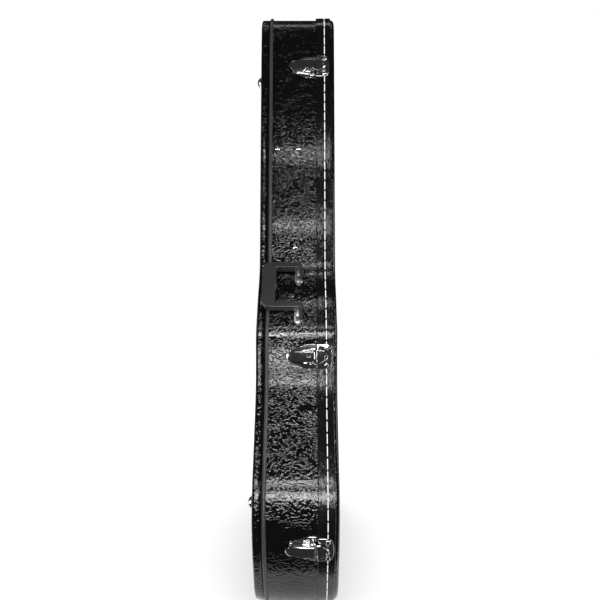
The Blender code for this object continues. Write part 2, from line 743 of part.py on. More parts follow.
def hinge_line():
    """A point on the pins' common line, its direction and the way out of the wall, as (y, z)."""
    heights = hinge_heights()
    low, high = (wall_at(z, 1, HINGE_STANDOFF)[0] for z in (heights[0], heights[-1]))
    along = (high - low).normalized()
    return low, along, Vector((along.y, -along.x))


def leaf(side, heel, seat):
    """Tapered leaf on one side of the pin, with two rivets."""
    half = HINGE_LENGTH / 2
    bend = LEAF_REACH - (LEAF_REACH - heel) / 3
    outline = [(heel, -half), (bend, -half), (LEAF_REACH, -LEAF_END_HALF),
               (LEAF_REACH, LEAF_END_HALF), (bend, half), (heel, half)]
    made = plate("leaf", [(side * x, along) for x, along in outline], seat, seat + SHEET, SHEET / 2)
    where, spread = LEAF_RIVETS
    return add_rivets(made, [(side * where, spread), (side * where, -spread)], seat + SHEET, SMALL_RIVET, 8)


def add_knuckle(obj, side, z0, z1, heel, seat):
    """Roll one knuckle about the pin and carry it down into its leaf."""
    turn = arc((0, 0), KNUCKLE_RADIUS, 0, 300, 10)
    web = turn + [(heel + 0.75 * SHEET, seat + SHEET / 4), (heel + 1.5 * SHEET, seat + SHEET / 2)]
    profile = [(side * x, height) for x, height in web]
    return combine(obj, side_prism("knuckle", profile, z1 - z0, (z0 + z1) / 2), "UNION")


def make_hinge(number, height):
    start, along, out = hinge_line()
    middle = start + along * ((height + LIFT - start.y) / along.y)
    frame = frame_at(Vector((HINGE_X, middle.x, middle.y)), Vector((0, out.x, out.y)))
    half = HINGE_LENGTH / 2
    wall = bulge(height - half, height + half, 1, middle, out)
    heel = KNUCKLE_RADIUS + GAP
    third = HINGE_LENGTH / 6
    short = half - GAP / 2
    seat = wall + GAP
    base = leaf(-1, heel, seat)
    add_knuckle(base, -1, -short, -third - GAP / 2, heel, seat)
    add_knuckle(base, -1, third + GAP / 2, short, heel, seat)
    seat = wall + CATCH_LOW
    lid = leaf(1, heel + GAP, seat)
    add_knuckle(lid, 1, GAP / 2 - third, third - GAP / 2, heel + GAP, seat)
    bore = HINGE_PIN + GAP
    for obj, name in ((base, "base_leaf"), (lid, "lid_leaf")):
        combine(obj, rod("bore", 0, 0, bore, THROUGH), "DIFFERENCE")
        finish_at(obj, frame, f"hinge_{number}_{name}", "chrome")
    pin = rod("pin", 0, 0, HINGE_PIN, HINGE_LENGTH + 2 * SHEET)
    finish_at(pin, frame, f"hinge_{number}_pin", "chrome")


# Handle: moulded grip on two pins, each held by a riveted bracket below its leg
def handle_frame():
    """The handle's frame on its pivot line, clear of the wall's curve, and its half span."""
    low, high = (wall_at(z, -1, -LID_OVERSIZE)[0] for z in HANDLE_LEGS)
    along = (high - low).normalized()
    normal = Vector((-along.y, along.x))
    z0, z1 = HANDLE_LEGS[0] - DROP_LENGTH, HANDLE_LEGS[1] + LEG_WIDTH
    rise = bulge(z0, z1, -1, low, normal) + HANDLE_CLEAR + HANDLE_THICK / 2
    middle = (low + high) / 2 + normal * rise
    return frame_at(Vector((HANDLE_X, middle.x, middle.y)), Vector((0, normal.x, normal.y))), (high - low).length / 2


def grip_outline(half):
    """Plan of the grip as (x, along): a bar with two legs, each turned down to a lip."""
    out, thick = -HANDLE_REACH, LEG_WIDTH / 2
    inner = out + GRIP_WIDTH
    top, bottom = half + thick, -half - thick
    end = HANDLE_THICK / 2
    turn = LEG_WIDTH * 0.8
    c = GRIP_CORNER

    def leg_end(middle):
        """Outer turn, lip and inner side of one leg, from its top edge to its underside."""
        foot = middle + thick - DROP_LENGTH
        wall = end - DROP_WIDTH
        return (arc((end - turn, middle + thick - turn), turn, 90, 0, 3)
                + arc((end - LIP, foot + LIP), LIP, 0, -90, 2)
                + [(-LIP_REACH, foot), (-LIP_REACH, foot + LIP), (wall, foot + LIP),
                   (wall, middle - thick)])

    swell = [(inner, half - thick), (inner, half * 0.3), (inner + FINGER_SWELL, 0), (inner - 1.0, -half * 0.3),
             (inner, -half + thick)]
    return (arc((out + c, top - c), c, 180, 90, 3) + leg_end(half) + swell + leg_end(-half)
            + arc((out + c, bottom + c), c, 270, 180, 3))


def make_grip(frame, half):
    """Moulded grip: its plan cut to a side view whose end is round about the pivot."""
    thick = HANDLE_THICK / 2
    grip = plate("grip", grip_outline(half), -thick, thick)
    side = [(-2 * HANDLE_REACH, -thick), (-2 * HANDLE_REACH, thick)] + arc((0, 0), thick, 90, -90, 8)
    combine(grip, side_prism("side", side, 4 * half), "INTERSECT")
    round_rim(grip, GRIP_ROUND)
    for middle in (half, -half):
        top = middle - LEG_WIDTH / 2 + PIN_SEAT + GAP
        foot = middle + LEG_WIDTH / 2 - DROP_LENGTH - SHEET
        combine(grip, rod("hole", 0, 0, HANDLE_PIN + GAP, top - foot, (top + foot) / 2), "DIFFERENCE")
    finish_at(grip, frame, "handle_grip", "plastic")


def make_handle():
    frame, half = handle_frame()
    make_grip(frame, half)
    for name, middle in (("upper", half), ("lower", -half)):
        under = middle - LEG_WIDTH / 2
        lip = middle + LEG_WIDTH / 2 - DROP_LENGTH
        eye = lip - GAP - EYE_LENGTH / 2
        low = eye - EYE_LENGTH / 2 - SHEET
        pin = rod("pin", 0, 0, HANDLE_PIN, under + PIN_SEAT - low, (under + PIN_SEAT + low) / 2)
        top, bottom = under - GAP, lip + LIP + GAP
        combine(pin, rod("sleeve", 0, 0, SLEEVE, top - bottom, (top + bottom) / 2), "UNION")
        finish_at(pin, frame, f"handle_link_{name}", "chrome")
        make_bracket(frame, name, eye)


def make_bracket(frame, name, eye):
    """Bracket whose foot lies on the wall behind the leg's end and whose eye holds the pin."""
    half = FOOT_PLATE_LENGTH / 2
    heel = half - EYE_LENGTH / 2 - SHEET
    middle = frame @ Vector((0, 0, (eye + heel) * MM))
    seat = seat_frame(middle.z / MM - LIFT, half, -1, HANDLE_X)
    c = FOOT_PLATE_HALF / 2
    outline = [(-FOOT_PLATE_HALF, -half + c), (-FOOT_PLATE_HALF + c, -half), (FOOT_PLATE_HALF - c, -half),
               (FOOT_PLATE_HALF, -half + c), (FOOT_PLATE_HALF, half), (-FOOT_PLATE_HALF, half)]
    foot = plate("foot", outline, GAP, GAP + FOOT_PLATE, FOOT_PLATE / 3)
    add_rivets(foot, [(0, half - FOOT_RIVET), (0, -FOOT_RIVET / 2)], GAP + FOOT_PLATE, FOOT_RIVET, 8)
    foot.matrix_world = frame.inverted() @ seat
    bake(foot)
    deep = -(frame.inverted() @ seat @ Vector((0, -(GAP + FOOT_PLATE / 2) * MM, -heel * MM))).y / MM
    web = [(-EYE_RADIUS, deep), (EYE_RADIUS, deep)] + arc((0, 0), EYE_RADIUS, 0, 180, 6)
    combine(foot, side_prism("web", web, EYE_LENGTH, eye), "UNION")
    combine(foot, rod("hole", 0, 0, HANDLE_PIN + GAP, 2 * EYE_LENGTH, eye), "DIFFERENCE")
    finish_at(foot, frame, f"handle_bracket_{name}", "chrome")


# Inside: two partitions, the compartment's flap with its tab, and the neck rest
def notched(low, top, half, notch_half, notch_depth):
    """Outline of (depth, across) with a round-bottomed notch in its upper edge."""
    c = notch_depth * 0.6
    return [(low, -half), (top, -half), (top, -notch_half), (top - notch_depth + c / 3, -notch_half + c / 2),
            (top - notch_depth, -notch_half + c * 1.5), (top - notch_depth, notch_half - c * 1.5),
            (top - notch_depth + c / 3, notch_half - c / 2), (top, notch_half), (top, half), (low, half)]


def make_wall_piece(name, shape, height, thick, soft=0.0):
    obj = flat_curve(name, [shape], thick)
    obj.location.z = (height + LIFT) * MM
    obj = as_mesh(obj)
    if soft:
        round_edges(obj, soft)
    keep(obj, name, "plush")


def make_inside():
    low = FLOOR_X + GAP
    inner = LINING_IN - 2 * GAP
    lower, upper = PARTITION_HEIGHTS
    half = width_at(lower + PARTITION_PLY, inner) - PARTITION_CLEAR
    top = BACK_X + PARTITION_TOPS[0]
    make_wall_piece("partition_lower", [(low, -half), (top, -half), (top, half), (low, half)],
                    lower, PARTITION_PLY)
    half = width_at(upper + PARTITION_PLY, inner) - PARTITION_CLEAR
    make_wall_piece("partition_upper", notched(low, BACK_X + PARTITION_TOPS[1], half, NECK_HALF + 4, NECK_DEPTH - 4),
                    upper, PARTITION_PLY)
    rest = upper + PARTITION_PLY / 2 + GAP + NECK_REST / 2
    half = width_at(rest + NECK_REST / 2, inner) - PARTITION_CLEAR
    make_wall_piece("neck_rest", notched(low, BACK_X + NECK_REST_TOP, half, NECK_HALF, NECK_DEPTH),
                    rest, NECK_REST, NECK_REST_SOFT)
    make_flap()


def flap_box():
    """The flap's lower and upper end, its half width and the depth of its underside."""
    z0 = PARTITION_HEIGHTS[0] - PARTITION_PLY / 2
    z1 = PARTITION_HEIGHTS[1] - PARTITION_PLY / 2 - FLAP_CLEAR / 2
    return z0 + LIFT, z1 + LIFT, width_at(z1, LINING_IN) - FLAP_CLEAR, BACK_X + PARTITION_TOPS[0] + GAP


def make_flap():
    z0, z1, half, x = flap_box()
    slab("compartment_lid", [[(-half, z0), (half, z0), (half, z1), (-half, z1)]],
         x, x + FLAP, "plush", FLAP / 4, 1)
    length, width, thick = TAB
    y0, mid = -half + FLAP_CLEAR, (z0 + z1) / 2
    loop = [(y0, mid - width / 2), (y0 + length, mid - width / 2),
            (y0 + length, mid + width / 2), (y0, mid + width / 2)]
    slab("pull_tab", [loop], x + FLAP + GAP, x + FLAP + GAP + thick, "trim")


def make_dome_rivets():
    """Heads of the rivets that hold the partitions, on both sides of the case."""
    r, h = DOME_DIAMETER / 2, DOME_HEIGHT
    profile = [(0, GAP + h), (0.5 * r, GAP + 0.9 * h), (0.9 * r, GAP + 0.45 * h), (r, GAP), (0, GAP)]
    places = [(BACK_X + x, PARTITION_HEIGHTS[which], side) for x, which in DOME_RIVETS for side in (-1, 1)]
    for number, (x, height, side) in enumerate(places, 1):
        finish_at(turned("rivet", profile), seat_frame(height, DOME_DIAMETER, side, x), f"rivet_{number}", "chrome")


make_base()
make_lid()
make_feet()
for index, level in enumerate(latch_heights(), 1):
    make_latch(index, level, index == 2)
for index, level in enumerate(hinge_heights(), 1):
    make_hinge(index, level)
make_handle()
make_inside()
make_dome_rivets()
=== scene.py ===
# %% [markdown]
# An acoustic guitar case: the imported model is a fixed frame, and this script
# gives it its surfaces. The case stands on its wide end with its handle side
# towards the camera. Lengths are in metres, and MM turns millimetres into them.

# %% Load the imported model
import json
import math

import bmesh
import bpy
from mathutils import Matrix, Vector
from mathutils.geometry import interpolate_bezier


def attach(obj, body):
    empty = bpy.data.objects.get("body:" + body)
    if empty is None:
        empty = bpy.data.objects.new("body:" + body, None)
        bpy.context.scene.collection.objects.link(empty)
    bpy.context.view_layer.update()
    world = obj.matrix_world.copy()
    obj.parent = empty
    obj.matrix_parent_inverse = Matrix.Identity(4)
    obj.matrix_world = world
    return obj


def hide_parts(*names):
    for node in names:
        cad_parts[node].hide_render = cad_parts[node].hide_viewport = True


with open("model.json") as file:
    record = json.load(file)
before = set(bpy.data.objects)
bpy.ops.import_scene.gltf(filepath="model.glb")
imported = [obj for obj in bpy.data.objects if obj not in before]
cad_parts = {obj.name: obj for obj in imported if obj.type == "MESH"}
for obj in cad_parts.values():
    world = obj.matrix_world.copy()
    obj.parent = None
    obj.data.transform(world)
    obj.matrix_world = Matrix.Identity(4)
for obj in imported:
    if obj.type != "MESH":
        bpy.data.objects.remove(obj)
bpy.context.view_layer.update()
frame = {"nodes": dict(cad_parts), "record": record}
MM = 0.001
scene = bpy.context.scene
nodes = frame["nodes"]
body_of = {node: body for body, held in frame["record"]["behaviour"]["bodies"].items() for node in held}

# %% [markdown]
# The camera stands three quarters of a metre in front of the case, a little
# towards the lid, and looks level along +Y. A short lens gives the strong
# perspective, and a small shift frames the case.

# %% Camera
CAMERA_AT = (18.2 * MM, -755 * MM, 536 * MM)
LENS = 20.4
SHIFT_X = -0.0122

camera_data = bpy.data.cameras.new("camera")
camera_data.lens = LENS
camera_data.sensor_width = 36
camera_data.shift_x = SHIFT_X
camera_data.clip_start = 0.01
camera = bpy.data.objects.new("camera", camera_data)
camera.location = CAMERA_AT
camera.rotation_euler = (math.radians(90), 0, 0)
scene.collection.objects.link(camera)
scene.camera = camera

# %% [markdown]
# Shader maths reads like arithmetic: one small class wraps a socket, and each
# operator adds its Math node. Every other node comes from its method `node`.

# %% Node expressions
class Socket:
    def __init__(self, tree, socket):
        self.tree = tree
        self.socket = socket

    def node(self, kind, settings=(), **inputs):
        """A node with its settings, and its inputs by name or, as i0, i1, by number."""
        made = self.tree.nodes.new(kind)
        for key, value in dict(settings).items():
            setattr(made, key, value)
        for key, value in inputs.items():
            slot = made.inputs[int(key[1:])] if key[0] == "i" and key[1:].isdigit() else made.inputs[key]
            if isinstance(value, Socket):
                self.tree.links.new(value.socket, slot)
            else:
                slot.default_value = value
        return made

    def math(self, operation, a, b=0.0):
        made = self.node("ShaderNodeMath", {"operation": operation}, i0=a, i1=b)
        return Socket(self.tree, made.outputs[0])

    def __add__(self, other):
        return self.math("ADD", self, other)

    def __radd__(self, other):
        return self.math("ADD", other, self)

    def __sub__(self, other):
        return self.math("SUBTRACT", self, other)

    def __rsub__(self, other):
        return self.math("SUBTRACT", other, self)

    def __mul__(self, other):
        return self.math("MULTIPLY", self, other)

    def __rmul__(self, other):
        return self.math("MULTIPLY", other, self)

    def __truediv__(self, other):
        return self.math("DIVIDE", self, other)

    def power(self, other):
        return self.math("POWER", self, other)

    def least(self, other):
        return self.math("MINIMUM", self, other)

    def __abs__(self):
        return self.math("ABSOLUTE", self)


# %% [markdown]
# The studio is a white room seen only by the camera and by soft light. What the
# glossy black case mirrors is dark behind the camera, so that its flat faces
# stay black. A lamp high in front draws the bright bands on the curved wall,
# one overhead and the pale floor catch the upper and lower edges of the
# fittings, and one beside the lid draws the line along its rounded edge.

# %% Studio
BACKGROUND = 1.0
ROOM_LIGHT = 1.35
ROOM_MIRRORED = 0.03
LAMPS = [
    ("fittings", (0.07, -0.9, 0.78), (0.02, -0.16, 0.5), 0.4, 0.2, 4),
    ("waist", (0.06, -0.9, 0.66), (0.02, -0.16, 0.5), 0.5, 0.1, 3),
    ("level", (0.05, -2.1, 0.2), (0.02, -0.2, 0.3), 0.9, 0.18, 6),
    ("low", (0.06, -0.9, 0.05), (0.02, -0.2, 0.24), 0.5, 0.1, 2.5),
    ("rim", (-1.1, -0.75, 0.55), (-0.05, -0.2, 0.55), 0.3, 0.5, 10),
    ("overhead", (0.0, -0.5, 2.4), (0, -0.2, 0.6), 1.0, 0.3, 2),
    ("lid side", (1.7, -0.9, 0.8), (0, 0, 0.55), 0.25, 1.4, 12),
    ("back side", (-1.5, -0.7, 0.7), (0, 0, 0.5), 0.8, 1.4, 5),
    ("behind", (-0.3, 2.2, 1.9), (0, 0, 0.6), 1.6, 1.2, 12),
]
NECK_STRIPS = [(0.93, 0.6), (1.24, 0.6)]
LAMPS += [(f"neck {n}", (0.07, -0.9, height), (0.02, -0.16, height - 0.34), 0.4, 0.03, power)
          for n, (height, power) in enumerate(NECK_STRIPS, 1)]

scene.view_settings.view_transform = "Standard"
world = bpy.data.worlds.new("studio")
scene.world = world
world.use_nodes = True
backdrop = world.node_tree.nodes["Background"]
room = Socket(world.node_tree, None)
rays = room.node("ShaderNodeLightPath")
seen = Socket(room.tree, rays.outputs["Is Camera Ray"])
mirrored = Socket(room.tree, rays.outputs["Is Glossy Ray"])
strength = seen * (BACKGROUND - ROOM_LIGHT) + mirrored * (ROOM_MIRRORED - ROOM_LIGHT) + ROOM_LIGHT
world.node_tree.links.new(strength.socket, backdrop.inputs["Strength"])
backdrop.inputs["Color"].default_value = (1, 1, 1, 1)

for name, place, target, width, height, power in LAMPS:
    data = bpy.data.lights.new(name, "AREA")
    data.shape = "RECTANGLE"
    data.size = width
    data.size_y = height
    data.energy = power
    lamp = bpy.data.objects.new(name, data)
    lamp.location = place
    lamp.visible_camera = False
    lamp.rotation_euler = (Vector(target) - Vector(place)).to_track_quat("-Z", "Y").to_euler()
    scene.collection.objects.link(lamp)

floor_mesh = bpy.data.meshes.new("floor")
FLOOR_FRONT, FLOOR_SIDE, FLOOR_BACK = -0.24, 2.5, 4.0
corners = [(-FLOOR_SIDE, FLOOR_FRONT), (FLOOR_SIDE, FLOOR_FRONT), (FLOOR_SIDE, FLOOR_BACK), (-FLOOR_SIDE, FLOOR_BACK)]
floor_mesh.from_pydata([(x, y, 0) for x, y in corners], [], [(0, 1, 2, 3)])
floor = bpy.data.objects.new("floor", floor_mesh)
scene.collection.objects.link(floor)

# %% [markdown]
# Every finish is drawn from the object's own coordinates, so a grain keeps its
# size on every piece. `finish` links what changes over a surface, and what is the
# same all over is set on the shader itself.

# %% Material helpers
def new_material(name, **constants):
    """A material, its shader with constant values, and its Object coordinates."""
    made = bpy.data.materials.new(name)
    made.use_nodes = True
    tree = made.node_tree
    shader = tree.nodes["Principled BSDF"]
    for key, value in constants.items():
        shader.inputs[key.replace("_", " ")].default_value = value
    coords = tree.nodes.new("ShaderNodeTexCoord")
    return made, shader, Socket(tree, coords.outputs["Object"])


def noise(at, scale, detail=2.0, rough=0.5, output=0):
    made = at.node("ShaderNodeTexNoise", Vector=at, Scale=scale, Detail=detail, Roughness=rough)
    return Socket(at.tree, made.outputs[output])


def cells(at, scale, feature="DISTANCE_TO_EDGE"):
    made = at.node("ShaderNodeTexVoronoi", {"feature": feature}, Vector=at, Scale=scale)
    return Socket(at.tree, made.outputs["Distance"])


def warped(at, scale, amount):
    """Coordinates pushed about by a noise, so that a pattern loses its regularity."""
    push = at.node("ShaderNodeVectorMath", {"operation": "SCALE"}, i0=noise(at, scale, output=1), Scale=amount)
    moved = at.node("ShaderNodeVectorMath", {"operation": "ADD"}, i0=at, i1=Socket(at.tree, push.outputs[0]))
    return Socket(at.tree, moved.outputs[0])


def stretched(at, scale):
    made = at.node("ShaderNodeMapping", Vector=at, Scale=scale)
    return Socket(at.tree, made.outputs[0])


def tint(at, mask, dark, light):
    made = at.node("ShaderNodeMix", {"data_type": "RGBA"}, Factor=mask, i6=(*dark, 1), i7=(*light, 1))
    return Socket(at.tree, made.outputs[2])


def finish(shader, at, color, rough, height=None, depth=0.0, distance=0.001):
    """Link colour, roughness and bump into a shader."""
    links = at.tree.links
    links.new(color.socket, shader.inputs["Base Color"])
    links.new(rough.socket, shader.inputs["Roughness"])
    if height is not None:
        bump = at.node("ShaderNodeBump", Height=height, Strength=depth, Distance=distance)
        links.new(bump.outputs[0], shader.inputs["Normal"])


# %% [markdown]
# The shell is covered in black vinyl pressed with a wrinkled grain. Small
# pillows lie between creases: a noise on warped, stretched coordinates, cut off
# steeply, gives them, and a second noise varies their gloss. The gloss on each
# pillow makes the sparkle.

# %% Grained vinyl
GRAIN = 270.0
GRAIN_LIE = (0.6, 1.0, 1.0)
GRAIN_DEPTH = 0.00014
CREASE = 6.0


def grained_vinyl():
    made, shader, at = new_material("grained_vinyl", Specular_IOR_Level=0.5)
    lie = stretched(warped(at, 32.0, 0.03), GRAIN_LIE)
    wrinkle = noise(lie, GRAIN, 1.0, 0.4)
    pillow = at.node("ShaderNodeMath", {"operation": "MULTIPLY_ADD", "use_clamp": True},
                     i0=wrinkle, i1=CREASE, i2=0.5 - 0.5 * CREASE)
    crease = Socket(at.tree, pillow.outputs[0]) + wrinkle * 0.8
    patch = noise(at, 9.0, 3.0)
    finish(shader, at, tint(at, wrinkle, (0.0008, 0.0008, 0.0009), (0.002, 0.002, 0.0021)),
           patch * 0.04 + 0.05, crease, 1.0, GRAIN_DEPTH)
    return made


# %% [markdown]
# The valance is smooth vinyl, almost like patent leather, drawn lengthwise so
# that its reflections run in fine streaks. The piping is a duller cord.

# %% Smooth vinyl
def smooth_vinyl(name, rough, streak_depth, dark=0.0012, light=0.0026):
    made, shader, at = new_material(name, Specular_IOR_Level=0.5)
    streaks = noise(stretched(at, (1.0, 0.15, 0.15)), 420.0, 2.0, 0.5)
    patch = noise(at, 14.0, 3.0)
    finish(shader, at, tint(at, patch, (dark, dark, dark * 1.1), (light, light, light * 1.1)),
           patch * 0.05 + streaks * 0.05 + rough, streaks, 0.35, streak_depth)
    return made


# %% [markdown]
# Latches, hinges and feet are chrome plate. A fine haze varies its roughness,
# and faint waves in the stamped sheet bend its reflections.

# %% Chrome
def chrome(name, rough):
    made, shader, at = new_material(name, Metallic=1.0)
    haze = noise(at, 60.0, 4.0)
    waves = noise(at, 180.0)
    finish(shader, at, tint(at, haze, (0.66, 0.66, 0.67), (0.8, 0.8, 0.81)),
           haze * 0.12 + rough, waves, 0.06, 0.0004)
    return made


# %% [markdown]
# The shell is bent plywood. Its grain is a noise drawn out along the case.

# %% Plywood
def plywood():
    made, shader, at = new_material("plywood")
    grain = noise(stretched(at, (60.0, 60.0, 4.0)), 3.0, 5.0, 0.6)
    finish(shader, at, tint(at, grain, (0.36, 0.23, 0.12), (0.58, 0.42, 0.26)),
           grain * 0.2 + 0.5, grain, 0.2, 0.0005)
    return made


# %% [markdown]
# The handle is satin charcoal plastic with the fine stipple of its mould.

# %% Moulded plastic
def moulded_plastic():
    made, shader, at = new_material("moulded_plastic")
    stipple = noise(at, 1200.0, 2.0)
    patch = noise(at, 25.0, 2.0)
    finish(shader, at, tint(at, patch, (0.009, 0.0093, 0.0102), (0.0145, 0.015, 0.0162)),
           stipple * 0.08 + 0.26, stipple, 0.1, 0.0003)
    return made


# %% [markdown]
# Inside, the case is lined with short black plush. Sheen lifts its edges as
# standing pile does, and a fine bump breaks its shading.

# %% Plush
def plush():
    made, shader, at = new_material("plush", Sheen_Weight=0.5, Sheen_Roughness=0.4)
    pile = noise(at, 1100.0, 3.0, 0.7)
    brushed = noise(stretched(at, (30.0, 30.0, 8.0)), 1.0, 3.0)
    finish(shader, at, tint(at, brushed, (0.01, 0.01, 0.012), (0.036, 0.036, 0.041)),
           pile * 0.1 + 0.88, pile, 0.8, 0.0012)
    return made


# %% [markdown]
# The stitches are thick ivory thread. Its twist is a band pattern drawn aslant
# over each stitch.

# %% Thread
def thread():
    made, shader, at = new_material("thread", Sheen_Weight=0.3)
    twist = at.node("ShaderNodeTexWave", {"bands_direction": "DIAGONAL"}, Vector=at, Scale=420.0, Distortion=1.0)
    strands = Socket(at.tree, twist.outputs["Fac"])
    finish(shader, at, tint(at, strands, (0.5, 0.49, 0.45), (0.78, 0.77, 0.74)),
           strands * 0.1 + 0.6, strands, 0.5, 0.0003)
    return made


LOOKS = {"vinyl": grained_vinyl(), "trim": smooth_vinyl("smooth_vinyl", 0.08, 0.0024), "chrome": chrome("chrome", 0.07),
         "ply": plywood(), "grip_plastic": moulded_plastic(), "plush": plush()}
THREAD = thread()
SATIN = chrome("satin_chrome", 0.26)
PIPING = smooth_vinyl("piping_vinyl", 0.34, 0.0002, 0.015, 0.026)
slots = {row["node"]: row["material_slot"] for row in frame["record"]["subparts"]}
for name, obj in nodes.items():
    obj.data.materials.clear()
    obj.data.materials.append(LOOKS[slots[name]])
print("finished", len(slots), "nodes")

floor_look, floor_shader, floor_at = new_material("pale_floor")
finish(floor_shader, floor_at, tint(floor_at, noise(floor_at, 3.0), (0.9, 0.9, 0.9), (0.93, 0.93, 0.93)),
       noise(floor_at, 40.0) * 0.1 + 0.6)
floor_mesh.materials.append(floor_look)

# %% [markdown]
# A new piece is linked, given its finish, hung on its body, and stands for the
# CAD nodes that it replaces.

# %% Piece helpers
def add_piece(name, data, look, body, *stands_for):
    obj = bpy.data.objects.new(name, data)
    scene.collection.objects.link(obj)
    data.materials.clear()
    data.materials.append(LOOKS[look])
    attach(obj, body)
    if stands_for:
        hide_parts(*stands_for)
    return obj


def mesh_from(bm, name, angle=40):
    """A mesh from a bmesh, shaded smooth except over sharp edges."""
    bmesh.ops.recalc_face_normals(bm, faces=bm.faces)
    mesh = bpy.data.meshes.new(name)
    bm.to_mesh(mesh)
    bm.free()
    mesh.shade_smooth()
    mesh.set_sharp_from_angle(angle=math.radians(angle))
    return mesh


def modified(mesh, kind, **settings):
    """A mesh after one modifier."""
    obj = bpy.data.objects.new("workpiece", mesh)
    scene.collection.objects.link(obj)
    mod = obj.modifiers.new("shape", kind)
    for key, value in settings.items():
        setattr(mod, key, value)
    out = evaluated(obj)
    bpy.data.objects.remove(obj)
    return out


def evaluated(obj):
    bpy.context.view_layer.update()
    return bpy.data.meshes.new_from_object(obj.evaluated_get(bpy.context.evaluated_depsgraph_get()))


# %% [markdown]
# The outline is drawn as a case maker's template: half widths at heights along
# the case, with a corner at each end. A curve runs smoothly through the
# stations, where the solid has straight runs. The end flats are split so that
# the faces of back and lid can share their points.

# %% Outline of the shell
SHELL_LENGTH = 1092.0
LIFT = 3.0
STATIONS = [
    (63, 197), (85, 203.5), (127, 215), (162, 220.5), (190, 221.5), (230, 218),
    (266, 209), (310, 196.5), (355, 184), (390, 178.5), (430, 177), (475, 174.5),
    (506, 164), (541, 150), (565, 138), (592, 129), (634, 125.5),
    (842, 115.5), (930, 110.5), (1020, 104), (1052, 101),
]
WIDEST = 221.5
WIDE_END = (120.0, (45.0, 32.0))
HEAD_END = (62.0, (23.0, 21.0))
CORNER_STEPS = 12
SIDE_STEPS = 5
SHARES = [k / 6 for k in range(-6, 7)]


def smooth_run(points, steps):
    """Points on a curve through the given ones, with its tangents along their neighbours' chords."""
    tangents = []
    for k, at in enumerate(points):
        before, after = points[max(k - 1, 0)], points[min(k + 1, len(points) - 1)]
        tangents.append((after - before).normalized())
    run = [points[0]]
    for k, (low, high) in enumerate(zip(points, points[1:])):
        reach = (high - low).length / 3
        run += interpolate_bezier(low, low + tangents[k] * reach, high - tangents[k + 1] * reach, high, steps + 1)[1:]
    return [p.xy for p in run]


def half_outline():
    sides = [Vector((width, height)) for height, width in STATIONS]
    foot, head = Vector((WIDE_END[0], 0)), Vector((HEAD_END[0], SHELL_LENGTH))
    rising, leaning = (sides[1] - sides[0]).normalized(), (sides[-1] - sides[-2]).normalized()
    lower = interpolate_bezier(foot, foot + Vector((WIDE_END[1][0], 0)), sides[0] - rising * WIDE_END[1][1],
                               sides[0], CORNER_STEPS)
    upper = interpolate_bezier(sides[-1], sides[-1] + leaning * HEAD_END[1][0], head + Vector((HEAD_END[1][1], 0)),
                               head, CORNER_STEPS)
    run = [p.xy for p in lower] + smooth_run(sides, SIDE_STEPS)[1:-1] + [p.xy for p in upper]
    return [p + Vector((0, LIFT)) for p in run]


HALF = half_outline()
TOP_FLAT = [Vector((HALF[-1].x * share, HALF[-1].y)) for share in SHARES[-2:0:-1]]
FOOT_FLAT = [Vector((HALF[0].x * share, HALF[0].y)) for share in SHARES[1:-1]]
OUTLINE = HALF + TOP_FLAT + [Vector((-p.x, p.y)) for p in reversed(HALF)] + FOOT_FLAT
print("outline points", len(OUTLINE))


def offset(points, distance):
    """A closed counter-clockwise outline moved outwards by a distance."""
    out = []
    for before, at, after in zip(points[-1:] + points[:-1], points, points[1:] + points[:1]):
        one, two = (at - before).normalized(), (after - at).normalized()
        normal = Vector((one.y + two.y, -one.x - two.x)).normalized()
        out.append(at + normal * distance / max(normal.dot(Vector((one.y, -one.x))), 0.5))
    return out


def wall_at(height, side, distance=0.0):
    """Point on the wall at a height, moved outwards, and its outward normal, as (y, z)."""
    z = height + LIFT
    for low, high in zip(HALF, HALF[1:]):
        if low.y <= z < high.y:
            run = (high - low).normalized()
            normal = Vector((run.y, -run.x))
            at = low.lerp(high, (z - low.y) / (high.y - low.y)) + normal * distance
            return Vector((at.x * side, at.y)), Vector((normal.x * side, normal.y))


# %% [markdown]
# Walls, trim and linings follow the outline: a section across the depth is
# carried round it. A closed section makes a ring.

# %% Sections carried round the outline
def ring_of(bm, x, distance):
    return [bm.verts.new((x * MM, p.x * MM, p.y * MM)) for p in offset(OUTLINE, distance)]


def bridge(bm, rings):
    count = len(OUTLINE)
    for ring, after in zip(rings, rings[1:]):
        for k in range(count):
            n = (k + 1) % count
            bm.faces.new((ring[k], ring[n], after[n], after[k]))


def carried(name, section, look, body, *stands_for):
    """A closed section of (depth, distance outwards), carried round the outline."""
    bm = bmesh.new()
    rings = [ring_of(bm, x, distance) for x, distance in section]
    bridge(bm, rings + rings[:1])
    return add_piece(name, mesh_from(bm, name), look, body, *stands_for)


def arc(centre, radii, first, last, steps):
    turns = [math.radians(first + (last - first) * k / steps) for k in range(steps + 1)]
    return [(centre[0] + radii[0] * math.cos(a), centre[1] + radii[1] * math.sin(a)) for a in turns]


# %% [markdown]
# The side vinyl is one long strip, glued round the frame. It runs under the
# piping and stops at the seam.

# %% Side vinyl
BACK_X, LID_X, SEAM_X = -70.0, 70.0, 46.0
PIPING_X = -50.6
PIPING_HALF = 3.3
VINYL = 1.0
VINYL_IN = 0.4
GAP = 0.3

outer, inner = -VINYL_IN, -VINYL_IN - VINYL
x0, x1 = PIPING_X, SEAM_X - GAP / 2
side_vinyl = carried("side_vinyl", [(x0, inner), (x1, inner), (x1, outer), (x0, outer)], "vinyl", "base", "side_cover")
print("side vinyl", len(side_vinyl.data.polygons), "faces")

# %% [markdown]
# Back and lid wear the same vinyl, wrapped over a rounded edge. The lid arches
# like the top of a trunk. Each is one open skin, made of a ring and a face that
# share their points, and Solidify gives it the cloth's thickness.

# %% Back and lid vinyl
LID_CROWN = 7.0
CROWN_FADE = 8.0
EDGE_STEPS = 6


